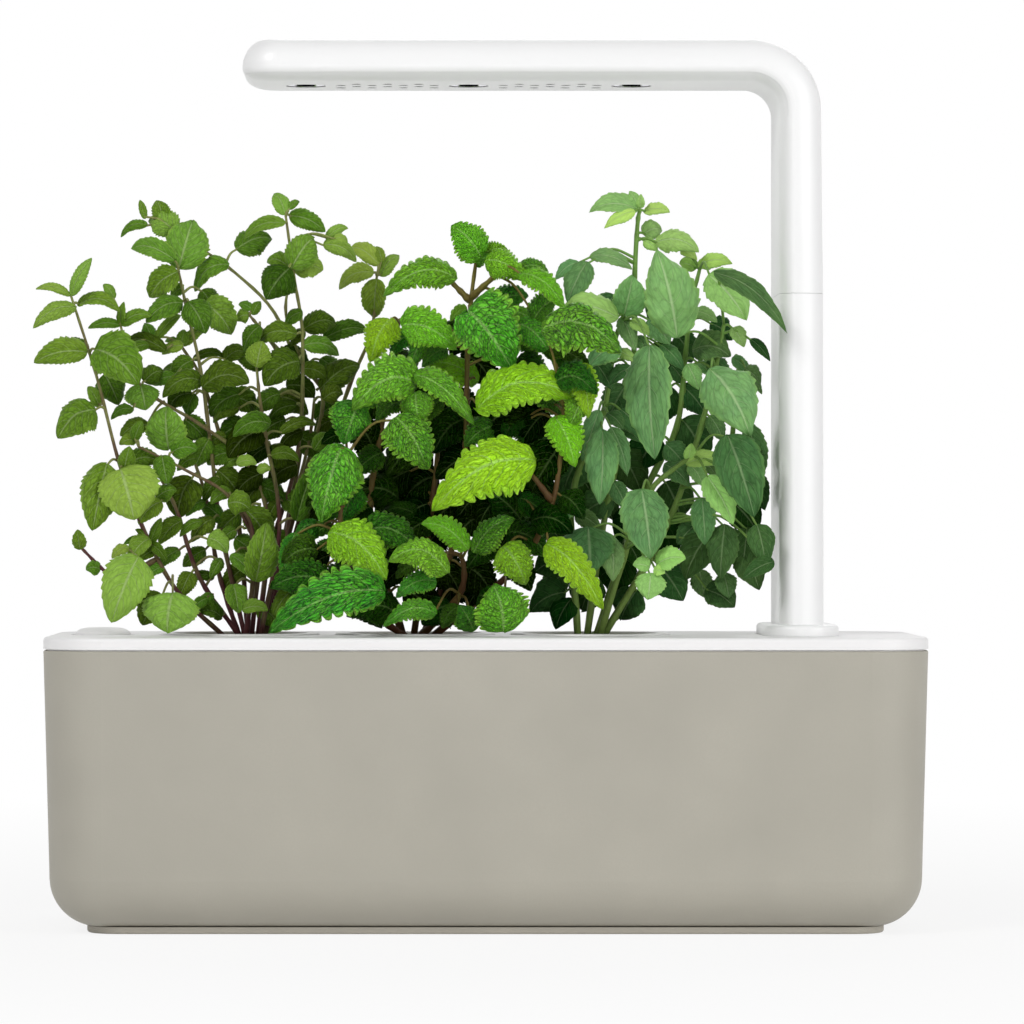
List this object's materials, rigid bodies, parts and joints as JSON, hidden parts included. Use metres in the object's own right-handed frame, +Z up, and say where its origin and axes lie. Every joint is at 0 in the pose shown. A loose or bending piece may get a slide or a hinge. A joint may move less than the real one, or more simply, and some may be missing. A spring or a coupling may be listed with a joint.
{
  "type": "countertop hydroponic garden",
  "caption": "Free-standing countertop hydroponic garden: tapered water tank, lift-off tray with planted cups and float gauge, and an L-shaped grow lamp on a stacked post.",
  "frame": {"origin": "centre of the tank's footprint on the surface it stands on", "axes": "+Z up, +X towards the lamp's post, +Y to the back; the front faces -Y"},
  "size_m": [0.3105, 0.1255, 0.3099],
  "materials": {
    "tank_plastic": "satin",
    "base_plastic": "matte",
    "tray_plastic": "matte",
    "cup_plastic": "matte",
    "lamp_plastic": "satin",
    "inner_plastic": "matte",
    "pod_plastic": "matte",
    "buoy_foam": "matte",
    "soil": "rough",
    "wick_felt": "matte",
    "stem": "matte",
    "leaf": "satin",
    "circuit_board": "satin",
    "led_board_white": "satin",
    "reflector": "polished",
    "led": "gloss",
    "spreader": "satin",
    "contact": "polished",
    "screw": "satin",
    "wire": "matte"
  },
  "bodies": {
    "tank": {"water_tank": "tank_plastic", "base_plate": "base_plastic"},
    "tray": {"top_tray": "tray_plastic", "lamp_base": "lamp_plastic", "lamp_base_cover": "inner_plastic", "base_screws": "screw", "controller_board": "circuit_board", "dc_jack": "inner_plastic", "tact_switch": "inner_plastic", "base_contacts": "contact"},
    "float": {"float_indicator": "tray_plastic", "float_buoy": "buoy_foam"},
    "arm": {"extension_arm": "lamp_plastic", "arm_plug": "inner_plastic", "arm_socket": "inner_plastic", "arm_contacts": "contact", "arm_harness": "wire"},
    "lamp": {"lamp_upper_shell": "lamp_plastic", "lamp_lower_cover": "lamp_plastic", "lamp_plug": "inner_plastic", "lamp_harness": "wire", "led_board": "led_board_white", "heat_spreader": "spreader", "board_screws": "screw", "led_emitters": "led", "led_reflectors": "reflector"},
    "button": {"power_button": "lamp_plastic"},
    "cup_1": {"plant_cup_1": "cup_plastic", "pod_basket_1": "pod_plastic", "soil_plug_1": "soil", "wick_1": "wick_felt", "stems_1": "stem", "leaves_1": "leaf"},
    "cup_2": {"plant_cup_2": "cup_plastic", "pod_basket_2": "pod_plastic", "soil_plug_2": "soil", "wick_2": "wick_felt", "stems_2": "stem", "leaves_2": "leaf"},
    "cup_3": {"plant_cup_3": "cup_plastic", "pod_basket_3": "pod_plastic", "soil_plug_3": "soil", "wick_3": "wick_felt", "stems_3": "stem", "leaves_3": "leaf"}
  },
  "joints": [
    {"name": "tray_lift", "type": "slide", "parent": "tank", "child": "tray", "axis": [0, 0, 1], "range_m": [0, 0.095]},
    {"name": "float_slide", "type": "slide", "parent": "tray", "child": "float", "axis": [0, 0, 1], "range_m": [-0.022, 0]},
    {"name": "cup_lift_1", "type": "slide", "parent": "tray", "child": "cup_1", "axis": [0, 0, 1], "range_m": [0, 0.035]},
    {"name": "cup_lift_2", "type": "slide", "parent": "tray", "child": "cup_2", "axis": [0, 0, 1], "range_m": [0, 0.035]},
    {"name": "cup_lift_3", "type": "slide", "parent": "tray", "child": "cup_3", "axis": [0, 0, 1], "range_m": [0, 0.035]},
    {"name": "arm_lift", "type": "slide", "parent": "tray", "child": "arm", "axis": [0, 0, 1], "range_m": [0, 0.025]},
    {"name": "lamp_lift", "type": "slide", "parent": "arm", "child": "lamp", "axis": [0, 0, 1], "range_m": [0, 0.025]},
    {"name": "button_press", "type": "slide", "parent": "tray", "child": "button", "axis": [0, -1, 0], "range_m": [0, 0.0011], "stiffness_N_per_m": 1000}
  ]
}
